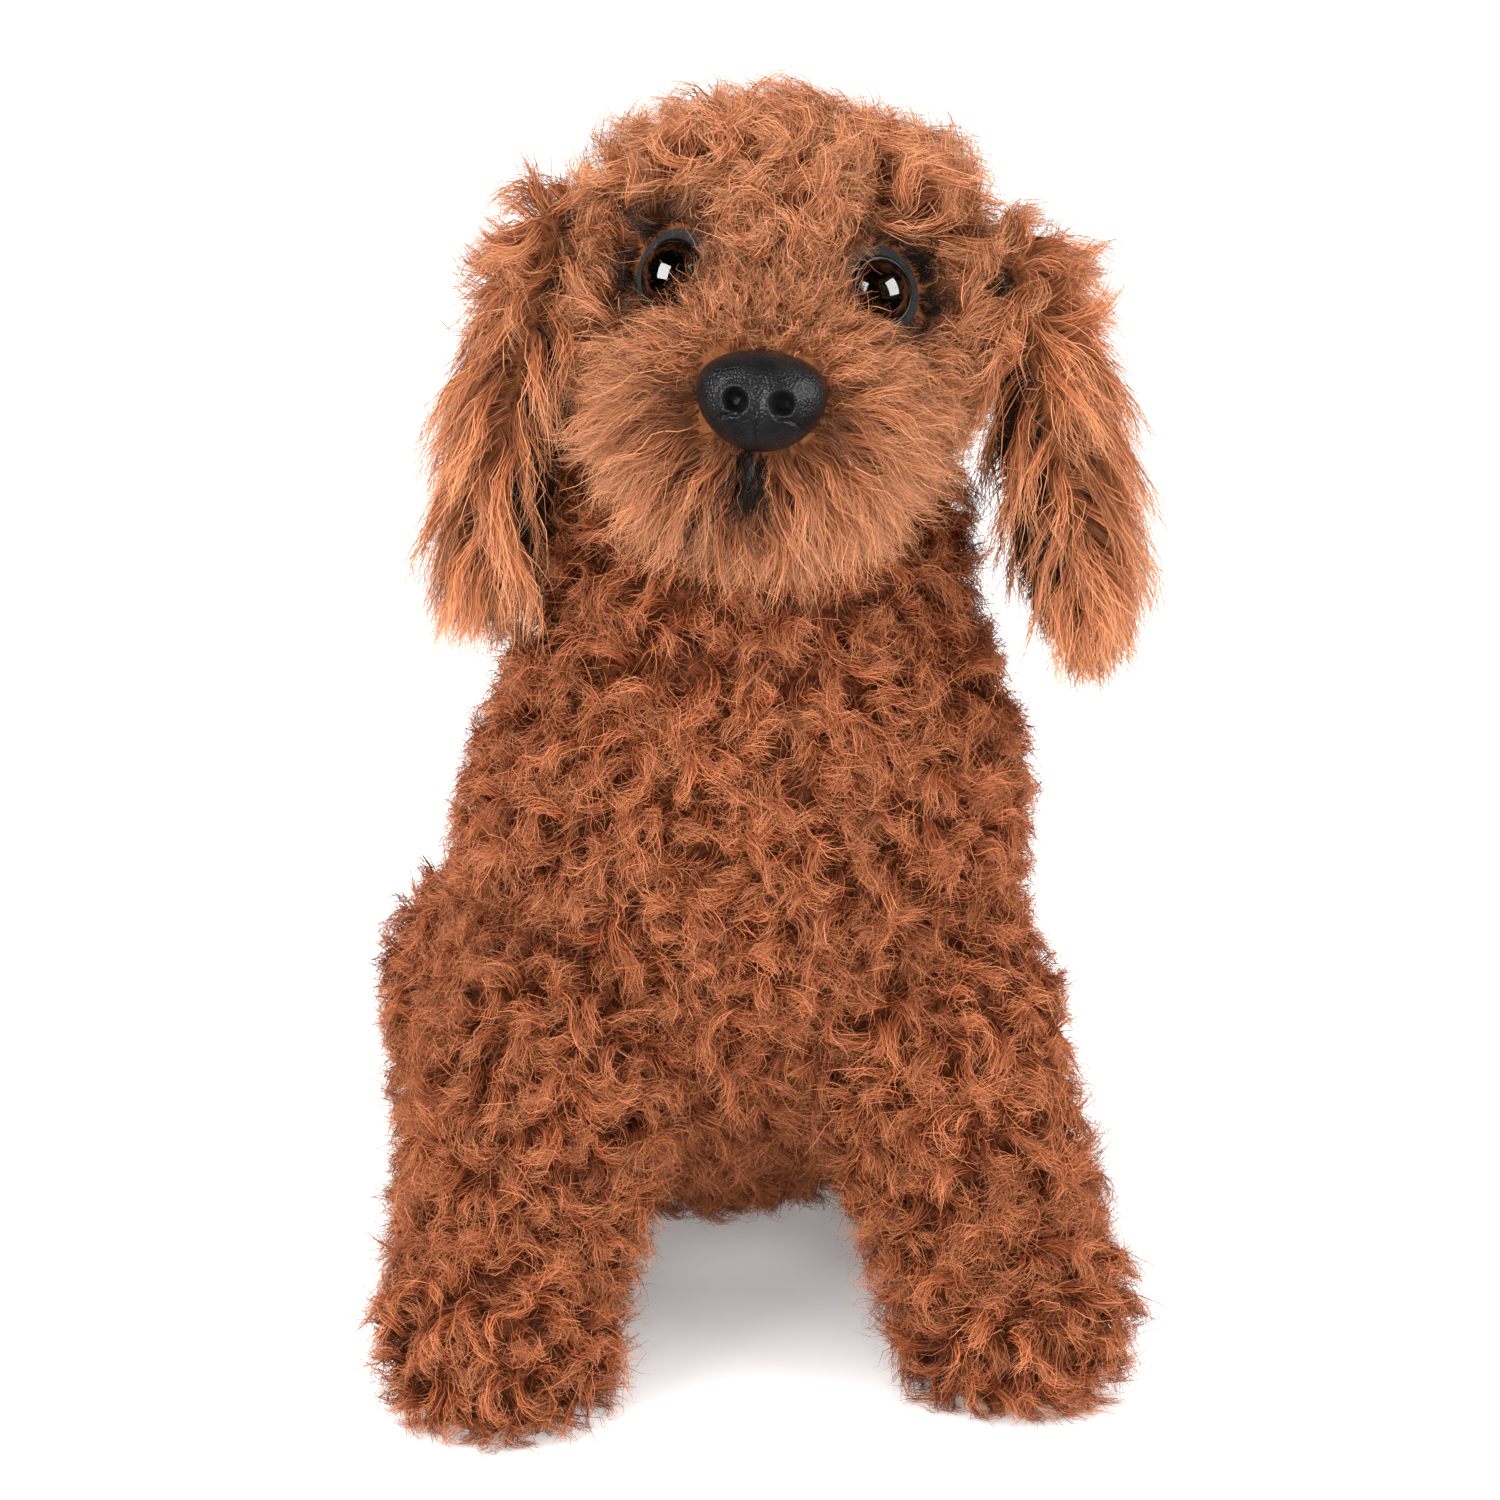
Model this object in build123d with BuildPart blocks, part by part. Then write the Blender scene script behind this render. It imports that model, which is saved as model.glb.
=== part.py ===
"""Sitting plush dog with curly fur, about 300 mm tall, as the sewn and stuffed pieces it is made of.

Millimetres. +Z is up, the dog faces -Y and +X is its own left. The origin is on the floor, under the middle
of the whole dog. Fur cloth is a shell: the knitted backing with the pile pressed flat on it. Each cloth shell
holds a fibre filling, and pieces that move on each other keep a small gap.
"""

import os
from math import asin, cos, degrees, radians, sin

from build123d import *

# ---- cloth and clearances -------------------------------------------------------------------------
CLOTH = 5.0  # fur cloth: knitted backing and the pressed pile
LINING = 1.6  # short pile lining of the ears
FELT = 1.2  # paw soles and eye patches
SLACK = 0.4  # filling stays this far inside its cloth
JOINT_GAP = 0.7  # between pieces that move on each other
SEAM_GAP = 0.3  # between two cloths of one body
MIDDLE = Vector(1.6, 26.5, 0)  # middle of the outline in the working frame, which becomes the origin

# ---- torso ----------------------------------------------------------------------------------------
TORSO_TOP = 184.0
# level rings: height, sideways centre, fore and aft centre, half width, half depth
TORSO_RINGS = (
    (0, 0, 98, 30, 24),
    (12, 0, 94, 40, 38),
    (35, 0, 76, 46, 54),
    (65, 0, 46, 53, 66),
    (98, 1, 18, 60, 63),
    (128, 2, 2, 61, 57),
    (158, 3, -5, 54, 48),
    (TORSO_TOP, 4, -8, 45, 42),
)
SEAT_CREASE = 7.0  # radius of the crease between the two halves of the seat
PELLET_BAG, PELLET_REACH, PELLET_RADIUS = Vector(0, 92, 26), Vector(0, 10, 0), 10.0

# ---- neck and head --------------------------------------------------------------------------------
NECK_RINGS = ((TORSO_TOP, 4, -8, 44, 41), (240, 8, -11, 37, 36))  # before the cuts, as the torso's
NECK_CUT, NECK_CUT_UP = Vector(0, -22, 207), Vector(0, -0.45, 1)  # sloping top of the neck
HEAD_AT = Vector(9, -12, 251)
HEAD_YAW, HEAD_PITCH, HEAD_ROLL = -10.0, -10.0, 4.0
SKULL_RADIUS = 41.0
MUZZLE_BACK, MUZZLE_BACK_RADIUS = Vector(0, -18, -12), 29.0
MUZZLE_TIP, MUZZLE_TIP_RADIUS = Vector(0, -43, -15), 24.0
MUZZLE_FRONT = -63.0  # flat seat of the nose, along the head's own Y

NOSE_AT = Vector(0, MUZZLE_FRONT, -13)
NOSE_HALF_WIDTH, NOSE_RADIUS, NOSE_STAND_OFF = 13.5, 10.5, 3.0
NOSTRIL_RADIUS, NOSTRIL_SPREAD, NOSTRIL_RISE, NOSTRIL_DEPTH = 2.1, 5.4, 0.8, 8.0
LIP_GROOVE = 0.8
NOSE_SHANK, NOSE_WASHER_RADIUS = 13.0, 8.0
SHANK_RADIUS, SHANK_FIT, SHANK_HOLE = 2.4, 0.1, 0.3
WASHER_RADIUS, WASHER, WASHER_BEVEL = 6.5, 1.6, 0.4
THREAD, THREAD_LIFT = 0.8, 1.0  # radius of the mouth stitches, and their height above the cloth
# directions from the middle of the muzzle's tip: top, fork, left end and right end of the stitches
STITCHES = (Vector(0, -88, -47), Vector(0, -53, -85), Vector(34, -42, -84), Vector(-34, -42, -84))
STITCH_SKIP = 0.3  # share of a spreading stitch that is left free next to the fork

EYE_AZIMUTH, EYE_ELEVATION = 37.0, 14.0
EYE_SINK = 2.6  # depth of the flat patch seat below the round of the head
EYE_RADIUS, EYE_FLANGE, EYE_ROUND = 8.0, 1.5, 0.5
EYE_LENS_RADIUS, EYE_LENS_RISE, IRIS_RADIUS, IRIS = 7.2, 4.4, 6.6, 0.3
EYE_SHANK, EYE_WASHER_GAP, EYE_PATCH_RADIUS = 12.0, 0.9, 10.5

# ---- ears -----------------------------------------------------------------------------------------
EAR_ROOT = Vector(46, 4, 21)  # on the left hinge seam, in the head's own frame
EAR_FLARE = {"left": 16.0, "right": 7.0}  # degrees that each resting ear stands off from the cheek
EAR_TWIST = 12.0  # degrees that the front edge of an ear is turned out
EAR_ROOT_HALF, EAR_HALF, EAR_LENGTH, EAR_WIDEST = 19.0, 26.0, 92.0, 56.0
EAR_HEM, EAR_ROOM = 2.0, 1.0  # lining's margin inside the cloth, and the cloth's start below the seam
EDGE_SHARE = 0.25  # rounding of the ear edges as a share of the panel's thickness

# ---- legs and tail (left side) --------------------------------------------------------------------
SHOULDER, SHOULDER_RADIUS, SHOULDER_ROOM = Vector(42, -22, 88), 25.0, 5.0
WRIST, WRIST_RADIUS = Vector(58, -34, 24), 20.5
HEEL_PAD, TOE_PAD, PAD_RADIUS = Vector(60, -38, 17), Vector(61, -47, 17), 22.0

HIP, HIP_RADIUS = Vector(44, 68, 62), 32.0
SHIN, SHIN_RADIUS, SHIN_ROOM = Vector(50, 58, 26), 22.0, 1.5
HOCK, TOE, FOOT_RADIUS = Vector(55, 66, 15), Vector(57, 12, 15), 16.0
SPLAY = {"left": 14.0, "right": 3.0}  # degrees that each resting foot turns out

TAIL_ROOT = Vector(0, 108, 72)
TAIL_TILT = 52.0  # degrees above level, pointing back
TAIL_ROOT_RADIUS, TAIL_RADIUS, TAIL_LENGTH = 8.0, 12.0, 36.0

SIDES = {"left": 1.0, "right": -1.0}


# ---- shared shapes --------------------------------------------------------------------------------
def save(name, part):
    """Moves a finished piece to the common origin, labels it and writes it as one STEP file."""
    placed = Pos(-MIDDLE) * part
    placed.label = name
    export_step(placed, f"parts/{name}.step")


def mirrored(point, side):
    """A point of the left side, or its mirror image on the right."""
    return Vector(SIDES[side] * point.X, point.Y, point.Z)


def ball(centre, radius):
    """A sphere about a point."""
    with BuildPart(mode=Mode.PRIVATE) as solid:
        with Locations(centre):
            Sphere(radius)
    return solid.part


def capsule(start, start_radius, end, end_radius):
    """A ball at each end with the straight sided skin that wraps both."""
    length = (end - start).length
    taper = degrees(asin((start_radius - end_radius) / length))
    with BuildPart(mode=Mode.PRIVATE) as solid:
        with BuildSketch(Plane.XZ):
            with BuildLine():
                first = CenterArc((0, 0), start_radius, -90, 90 + taper)
                last = CenterArc((0, length), end_radius, taper, 90 - taper)
                Line(first @ 1, last @ 0)
                Line(last @ 1, first @ 0)
            make_face()
        revolve(axis=Axis.Z)
    return Plane(origin=start, z_dir=end - start).location * solid.part


def shell(outer, inner):
    """What is left of an outer shape when the inner one is taken out."""
    with BuildPart(mode=Mode.PRIVATE) as solid:
        add(outer)
        add(inner, mode=Mode.SUBTRACT)
    return solid.part


# ---- frames ---------------------------------------------------------------------------------------
HEAD = Pos(HEAD_AT) * Rot(0, 0, HEAD_YAW) * Rot(HEAD_PITCH, 0, 0) * Rot(0, HEAD_ROLL, 0)


def ear_frame(side):
    """The hinge seam of an ear: +X hangs down the panel, +Y runs back along the seam."""
    twist = Rot(0, 0, SIDES[side] * EAR_TWIST)
    hang = Rot(0, 90 - SIDES[side] * EAR_FLARE[side], 0)
    return HEAD * Pos(mirrored(EAR_ROOT, side)) * twist * hang


def eye_plane(side):
    """The flat seat of an eye on the head, +Z outward, in the head's own frame."""
    turn, rise = radians(EYE_AZIMUTH), radians(EYE_ELEVATION)
    outward = Vector(SIDES[side] * sin(turn) * cos(rise), -cos(turn) * cos(rise), sin(rise))
    return Plane(origin=outward * (SKULL_RADIUS - EYE_SINK), x_dir=(0, 0, 1), z_dir=outward)


def eye_washer_plane(side):
    """Where an eye's washer starts, just behind the cloth."""
    return eye_plane(side).offset(EYE_SINK - CLOTH - EYE_WASHER_GAP - WASHER)


def nose_plane(depth=0.0):
    """The flat seat of the nose, +Z into the head, in the head's own frame."""
    return Plane(origin=NOSE_AT, x_dir=(1, 0, 0), z_dir=(0, 1, 0)).offset(depth)


def about_hip(side, angle):
    """A turn about the upright axis through a hip."""
    hip = mirrored(HIP, side)
    return Pos(hip.X, hip.Y, 0) * Rot(0, 0, angle) * Pos(-hip.X, -hip.Y, 0)


# ---- head -----------------------------------------------------------------------------------------
def muzzle(inset=0.0):
    """The muzzle, cut flat at the front for the nose, in the head's own frame."""
    with BuildPart(mode=Mode.PRIVATE) as shape:
        add(capsule(MUZZLE_BACK, MUZZLE_BACK_RADIUS - inset, MUZZLE_TIP, MUZZLE_TIP_RADIUS - inset))
        split(bisect_by=nose_plane(inset))
    return shape.part


def eye_opening(side):
    """The flat pocket of an eye patch and the hole of its shank."""
    with BuildPart(mode=Mode.PRIVATE) as space:
        with BuildSketch(eye_plane(side)):
            Circle(EYE_PATCH_RADIUS + SEAM_GAP)
        extrude(amount=2 * EYE_RADIUS)
        with BuildSketch(eye_plane(side)):
            Circle(SHANK_RADIUS + SHANK_HOLE)
        extrude(amount=-2 * CLOTH)
    return space.part


def head_cloth():
    """Crown, cheeks and back of the head, open where the muzzle is sewn in."""
    with BuildPart(mode=Mode.PRIVATE) as cloth:
        add(ball((0, 0, 0), SKULL_RADIUS))
        add(ball((0, 0, 0), SKULL_RADIUS - CLOTH), mode=Mode.SUBTRACT)
        add(muzzle(-SEAM_GAP), mode=Mode.SUBTRACT)
        for side in SIDES:
            add(eye_opening(side), mode=Mode.SUBTRACT)
    return cloth.part


def muzzle_cloth():
    """The muzzle panel, a cup sewn round its open back to the head cloth."""
    with BuildPart(mode=Mode.PRIVATE) as cloth:
        add(muzzle())
        add(muzzle(CLOTH), mode=Mode.SUBTRACT)
        add(ball((0, 0, 0), SKULL_RADIUS - CLOTH), mode=Mode.SUBTRACT)
        for side in SIDES:
            add(eye_opening(side), mode=Mode.SUBTRACT)
        with BuildSketch(nose_plane()):
            Circle(SHANK_RADIUS + SHANK_HOLE)
        extrude(amount=2 * CLOTH, mode=Mode.SUBTRACT)
    return cloth.part


def head_filling():
    """Fibre filling of the head and muzzle in one piece, pressed round the shanks and washers."""
    with BuildPart(mode=Mode.PRIVATE) as fibre:
        add(ball((0, 0, 0), SKULL_RADIUS - CLOTH - SLACK))
        add(muzzle(CLOTH + SLACK))
        for side in SIDES:
            with BuildSketch(eye_plane(side)):
                Circle(SHANK_RADIUS + SHANK_HOLE)
            extrude(amount=-(EYE_SHANK + SLACK), mode=Mode.SUBTRACT)
            with BuildSketch(eye_washer_plane(side).offset(-SLACK)):
                Circle(WASHER_RADIUS + SLACK)
            extrude(amount=CLOTH, mode=Mode.SUBTRACT)
        with BuildSketch(nose_plane()):
            Circle(SHANK_RADIUS + SHANK_HOLE)
        extrude(amount=NOSE_SHANK + SLACK, mode=Mode.SUBTRACT)
        with BuildSketch(nose_plane(CLOTH)):
            Circle(NOSE_WASHER_RADIUS + SLACK)
        extrude(amount=WASHER + 2 * SLACK, mode=Mode.SUBTRACT)
    return fibre.part


def nose():
    """Moulded nose: rounded block with nostrils, a lip groove and a shank."""
    front = nose_plane(-NOSE_STAND_OFF - NOSE_RADIUS)
    middle = nose_plane(-NOSE_STAND_OFF).origin
    aside = Vector(NOSE_HALF_WIDTH - NOSE_RADIUS, 0, 0)
    with BuildPart(mode=Mode.PRIVATE) as moulding:
        add(capsule(middle - aside, NOSE_RADIUS, middle + aside, NOSE_RADIUS))
        split(bisect_by=nose_plane(), keep=Keep.BOTTOM)
        with BuildSketch(front):
            with Locations((-NOSTRIL_SPREAD, -NOSTRIL_RISE), (NOSTRIL_SPREAD, -NOSTRIL_RISE)):
                Circle(NOSTRIL_RADIUS)
        extrude(amount=NOSTRIL_DEPTH, mode=Mode.SUBTRACT)
        with BuildSketch(front):
            with Locations((0, NOSE_RADIUS * 0.7)):
                Rectangle(LIP_GROOVE, NOSE_RADIUS * 0.8)
        extrude(amount=NOSE_RADIUS * 0.6, mode=Mode.SUBTRACT)
        with BuildSketch(nose_plane()):
            Circle(SHANK_RADIUS)
        extrude(amount=NOSE_SHANK)
    return moulding.part


def washer(seat, radius):
    """A push-on washer: a ring with a bevelled rim, standing on a plane."""
    with BuildPart(mode=Mode.PRIVATE) as ring:
        with BuildSketch(seat):
            Circle(radius)
            Circle(SHANK_RADIUS + SHANK_FIT, mode=Mode.SUBTRACT)
        extrude(amount=WASHER)
        rims = ring.edges().filter_by(GeomType.CIRCLE).sort_by(SortBy.RADIUS)[-2:]
        chamfer(rims, WASHER_BEVEL)
    return ring.part


def mouth_stitches():
    """Three separate stitches under the nose: one upright, and two that spread from its foot."""
    reach = MUZZLE_TIP_RADIUS + THREAD + THREAD_LIFT
    top, fork, left, right = (MUZZLE_TIP + point.normalized() * reach for point in STITCHES)
    with BuildPart(mode=Mode.PRIVATE) as thread:
        add(capsule(top, THREAD, fork, THREAD))
        for end in (left, right):
            start = fork + (end - fork) * STITCH_SKIP
            add(capsule(start, THREAD, end, THREAD))
    return thread.part


def eye_pieces(side):
    """Patch, button, iris, lens and washer of one safety eye, by name."""
    button_seat = eye_plane(side).offset(FELT)
    front = button_seat.offset(EYE_FLANGE)
    with BuildPart(mode=Mode.PRIVATE) as patch:
        with BuildSketch(eye_plane(side)):
            Circle(EYE_PATCH_RADIUS)
            Circle(SHANK_RADIUS + SHANK_HOLE, mode=Mode.SUBTRACT)
        extrude(amount=FELT)
    with BuildPart(mode=Mode.PRIVATE) as button:
        with BuildSketch(button_seat):
            Circle(EYE_RADIUS)
        extrude(amount=EYE_FLANGE)
        fillet(button.edges().filter_by(GeomType.CIRCLE), EYE_ROUND)
        with BuildSketch(button_seat):
            Circle(SHANK_RADIUS)
        extrude(amount=-EYE_SHANK)
    with BuildPart(mode=Mode.PRIVATE) as iris:
        with BuildSketch(front):
            Circle(IRIS_RADIUS)
        extrude(amount=IRIS)
    dome_radius = (EYE_LENS_RADIUS**2 + EYE_LENS_RISE**2) / (2 * EYE_LENS_RISE)
    below = dome_radius - EYE_LENS_RISE
    start = degrees(asin(below / dome_radius))
    with BuildPart(mode=Mode.PRIVATE) as lens:
        with BuildSketch(Plane.XZ):
            with BuildLine():
                dome = CenterArc((0, -below), dome_radius, start, 90 - start)
                Polyline(dome @ 1, (0, 0), dome @ 0)
            make_face()
        revolve(axis=Axis.Z)
    return {
        "eye_patch": patch.part,
        "eye_button": button.part,
        "eye_iris": iris.part,
        "eye_lens": front.offset(IRIS).location * lens.part,
        "eye_washer": washer(eye_washer_plane(side), WASHER_RADIUS),
    }


# ---- ears -----------------------------------------------------------------------------------------
def ear_panel(margin, bottom, thickness):
    """A leaf shaped panel that hangs along +X, inside a margin, from a level of the ear's frame."""
    root, widest, tip = EAR_ROOT_HALF - margin, EAR_HALF - margin, EAR_LENGTH - margin
    with BuildPart(mode=Mode.PRIVATE) as panel:
        with BuildSketch(Plane.XY.offset(bottom)):
            with BuildLine():
                edge = Spline(
                    (EAR_ROOM, -root), (EAR_WIDEST, -widest), (tip, 0), tangents=((1, -0.1), (0, 1))
                )
                mirror(edge, about=Plane.XZ)
                Line((EAR_ROOM, root), (EAR_ROOM, -root))
            make_face()
        extrude(amount=thickness)
        fillet(panel.edges().filter_by(GeomType.BSPLINE), EDGE_SHARE * thickness)
    return panel.part


def ear_pieces(side):
    """Fur cloth and lining of one ear, by name, with the cloth on the outer side."""
    cloth_bottom, lining_bottom = SEAM_GAP / 2, -SEAM_GAP / 2 - LINING
    if side == "right":
        cloth_bottom, lining_bottom = -SEAM_GAP / 2 - CLOTH, SEAM_GAP / 2
    return {
        "ear_cloth": ear_frame(side) * ear_panel(0, cloth_bottom, CLOTH),
        "ear_lining": ear_frame(side) * ear_panel(EAR_HEM, lining_bottom, LINING),
    }


# ---- legs -----------------------------------------------------------------------------------------
def front_leg_shape(side, inset=0.0):
    """Shoulder, limb and paw of a front leg, cut level above its sole."""
    shoulder, wrist = mirrored(SHOULDER, side), mirrored(WRIST, side)
    heel_pad, toe_pad = mirrored(HEEL_PAD, side), mirrored(TOE_PAD, side)
    with BuildPart(mode=Mode.PRIVATE) as shape:
        add(capsule(shoulder, SHOULDER_RADIUS - inset, wrist, WRIST_RADIUS - inset))
        add(capsule(heel_pad, PAD_RADIUS - inset, toe_pad, PAD_RADIUS - inset))
        split(bisect_by=Plane.XY.offset(FELT + inset))
    return shape.part


def haunch_shape(side, inset, shin_room):
    """The round of the hip, narrowing down to the shin."""
    shin_radius = SHIN_RADIUS - inset + shin_room
    return capsule(mirrored(HIP, side), HIP_RADIUS - inset, mirrored(SHIN, side), shin_radius)


def rear_leg_shape(side, inset=0.0):
    """Haunch and foot of a rear leg, turned out by its splay about the upright hip axis."""
    hock, toe = mirrored(HOCK, side), mirrored(TOE, side)
    haunch = haunch_shape(side, inset, 0)
    foot = capsule(hock, FOOT_RADIUS - inset, toe, FOOT_RADIUS - inset)
    with BuildPart(mode=Mode.PRIVATE) as leg:
        add(haunch)
        add(foot)
        split(bisect_by=Plane.XY.offset(FELT + inset))
    return about_hip(side, SIDES[side] * SPLAY[side]) * leg.part


def leg_pieces(shape, side):
    """Cloth, filling and felt sole of a leg whose outline is shape(side, inset)."""
    outer = shape(side)
    with BuildPart(mode=Mode.PRIVATE) as sole:
        add(outer.faces().filter_by(GeomType.PLANE).sort_by(Axis.Z)[0])
        extrude(amount=FELT, dir=(0, 0, -1))
    return {
        "cloth": shell(outer, shape(side, CLOTH)),
        "filling": shape(side, CLOTH + SLACK),
        "sole": sole.part,
    }


# ---- tail -----------------------------------------------------------------------------------------
def tail_shape(inset=0.0):
    """A short pom that widens from a ball at the root."""
    tilt = radians(TAIL_TILT)
    tip = TAIL_ROOT + Vector(0, cos(tilt), sin(tilt)) * TAIL_LENGTH
    return capsule(TAIL_ROOT, TAIL_ROOT_RADIUS - inset, tip, TAIL_RADIUS - inset)


# ---- torso and neck -------------------------------------------------------------------------------
def ring_loft(rings, inset):
    """A smooth skin over level elliptical rings, drawn in by an inset, with flat ends."""
    with BuildPart(mode=Mode.PRIVATE) as solid:
        for height, x, y, half_width, half_depth in rings:
            with BuildSketch(Plane((x, y, height))):
                Ellipse(half_width - inset, half_depth - inset)
        loft()
    return solid.part


def torso_shape(inset=0.0):
    """Chest, back and seat, with a crease under the seat and round sockets for legs and tail."""
    room = JOINT_GAP + inset
    sockets = [ball(TAIL_ROOT, TAIL_ROOT_RADIUS + room)]
    for side in SIDES:
        sockets.append(ball(mirrored(SHOULDER, side), SHOULDER_RADIUS + SHOULDER_ROOM + room))
        sockets.append(haunch_shape(side, -room, SHIN_ROOM))
    with BuildPart(mode=Mode.PRIVATE) as shape:
        add(ring_loft(TORSO_RINGS, inset))
        split(bisect_by=Plane.XY.offset(inset))
        split(bisect_by=Plane.XY.offset(TORSO_TOP - inset), keep=Keep.BOTTOM)
        with BuildSketch(Plane.XZ):
            Circle(SEAT_CREASE + inset)
        extrude(amount=-2 * HIP.Y, mode=Mode.SUBTRACT)
        add(sockets, mode=Mode.SUBTRACT)
    return shape.part


def pellet_bag(grown=0.0):
    """The bag of pellets that weighs the seat down, lying fore and aft."""
    radius = PELLET_RADIUS + grown
    return capsule(PELLET_BAG - PELLET_REACH, radius, PELLET_BAG + PELLET_REACH, radius)


def torso_filling():
    """Fibre filling of the torso, with the pellet bag's space in the seat."""
    return shell(torso_shape(CLOTH + SLACK), pellet_bag(SLACK))


def neck_shape(inset=0.0):
    """The neck, level below and sloping above, hollowed for the round of the head."""
    with BuildPart(mode=Mode.PRIVATE) as shape:
        add(ring_loft(NECK_RINGS, inset))
        split(bisect_by=Plane.XY.offset(TORSO_TOP + JOINT_GAP + inset))
        split(bisect_by=Plane(origin=NECK_CUT, z_dir=NECK_CUT_UP).offset(-inset), keep=Keep.BOTTOM)
        add(ball(HEAD_AT, SKULL_RADIUS + JOINT_GAP + inset), mode=Mode.SUBTRACT)
    return shape.part


# ---- assembly -------------------------------------------------------------------------------------
os.makedirs("parts", exist_ok=True)

save("torso_cloth", shell(torso_shape(), torso_shape(CLOTH)))
save("torso_filling", torso_filling())
save("pellet_bag", pellet_bag())
save("neck_cloth", shell(neck_shape(), neck_shape(CLOTH)))
save("neck_filling", neck_shape(CLOTH + SLACK))

save("head_cloth", HEAD * head_cloth())
save("muzzle_cloth", HEAD * muzzle_cloth())
save("head_filling", HEAD * head_filling())
save("nose", HEAD * nose())
save("nose_washer", HEAD * washer(nose_plane(CLOTH + SLACK), NOSE_WASHER_RADIUS))
save("mouth_stitches", HEAD * mouth_stitches())

for side in SIDES:
    for name, part in eye_pieces(side).items():
        save(f"{side}_{name}", HEAD * part)
    for name, part in ear_pieces(side).items():
        save(f"{side}_{name}", part)
    for name, part in leg_pieces(front_leg_shape, side).items():
        save(f"{side}_front_leg_{name}", part)
    for name, part in leg_pieces(rear_leg_shape, side).items():
        save(f"{side}_rear_leg_{name}", part)

save("tail_cloth", shell(tail_shape(), tail_shape(CLOTH)))
save("tail_filling", tail_shape(CLOTH + SLACK))
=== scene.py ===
"""Sitting plush dog: stuffed bodies under curly fur, sculpted nose and polished eyes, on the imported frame."""

import math

import bmesh
import bpy
import numpy as np
from mathutils import Matrix, Vector
from mathutils.bvhtree import BVHTree
from mathutils.kdtree import KDTree


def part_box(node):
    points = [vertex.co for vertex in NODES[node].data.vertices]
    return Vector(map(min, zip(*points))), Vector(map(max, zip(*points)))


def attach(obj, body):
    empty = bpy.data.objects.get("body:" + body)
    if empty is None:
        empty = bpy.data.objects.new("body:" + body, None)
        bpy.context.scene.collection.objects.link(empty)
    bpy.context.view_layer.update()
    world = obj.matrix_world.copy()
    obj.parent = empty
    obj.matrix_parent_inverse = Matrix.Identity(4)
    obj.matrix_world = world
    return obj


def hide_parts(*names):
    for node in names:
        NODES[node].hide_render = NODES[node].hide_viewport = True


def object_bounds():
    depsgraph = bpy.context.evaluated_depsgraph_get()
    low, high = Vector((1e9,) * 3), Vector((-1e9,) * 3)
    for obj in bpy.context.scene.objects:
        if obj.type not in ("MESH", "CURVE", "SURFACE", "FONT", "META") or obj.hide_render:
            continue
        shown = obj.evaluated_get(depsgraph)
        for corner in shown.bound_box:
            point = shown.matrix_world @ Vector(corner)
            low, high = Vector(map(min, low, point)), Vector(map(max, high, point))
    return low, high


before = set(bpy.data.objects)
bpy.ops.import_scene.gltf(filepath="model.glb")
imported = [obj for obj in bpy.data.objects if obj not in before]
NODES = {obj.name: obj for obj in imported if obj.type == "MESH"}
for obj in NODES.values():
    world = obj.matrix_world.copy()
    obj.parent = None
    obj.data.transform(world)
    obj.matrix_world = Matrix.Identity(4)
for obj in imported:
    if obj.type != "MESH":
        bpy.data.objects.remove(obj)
cad_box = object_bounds()
SIDES = {"left": 1.0, "right": -1.0}

# ---- camera ----------------------------------------------------------------------------------------
AIM = Vector((0.0016, -0.0265, 0.1440))
AZIMUTH, ELEVATION, DISTANCE = math.radians(-6), math.radians(18), 1.25
LENS = 127.2

back = Vector((
    math.sin(AZIMUTH) * math.cos(ELEVATION),
    -math.cos(AZIMUTH) * math.cos(ELEVATION),
    math.sin(ELEVATION),
))
camera_data = bpy.data.cameras.new("camera")
camera_data.lens = LENS
camera_data.sensor_width = 36.0
camera_data.clip_start = 0.05
camera = bpy.data.objects.new("camera", camera_data)
camera.location = AIM + back * DISTANCE
camera.rotation_euler = back.to_track_quat("Z", "Y").to_euler()
bpy.context.scene.collection.objects.link(camera)
bpy.context.scene.camera = camera
bpy.context.scene.view_settings.view_transform = "Standard"


# ---- materials -------------------------------------------------------------------------------------
def new_material(name, colour, roughness, sheen=0.0, specular=0.5, coat=0.0):
    """A principled material and its node tree."""
    material = bpy.data.materials.new(name)
    material.use_nodes = True
    tree = material.node_tree
    shader = tree.nodes["Principled BSDF"]
    shader.inputs["Base Color"].default_value = (*colour, 1)
    shader.inputs["Roughness"].default_value = roughness
    shader.inputs["Sheen Weight"].default_value = sheen
    shader.inputs["Specular IOR Level"].default_value = specular
    shader.inputs["Coat Weight"].default_value = coat
    return material, tree, shader


def add_texture(tree, kind, scale, **sockets):
    """A texture in object space."""
    place = tree.nodes.new("ShaderNodeTexCoord")
    texture = tree.nodes.new(kind)
    tree.links.new(place.outputs["Object"], texture.inputs["Vector"])
    texture.inputs["Scale"].default_value = scale
    for socket, value in sockets.items():
        texture.inputs[socket].default_value = value
    return texture


def add_ramp(tree, source, stops):
    """A colour ramp fed by a value."""
    ramp = tree.nodes.new("ShaderNodeValToRGB")
    while len(ramp.color_ramp.elements) < len(stops):
        ramp.color_ramp.elements.new(0.5)
    for element, (position, colour) in zip(ramp.color_ramp.elements, stops):
        element.position = position
        element.color = (*colour, 1)
    tree.links.new(source, ramp.inputs["Fac"])
    return ramp.outputs["Color"]


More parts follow.
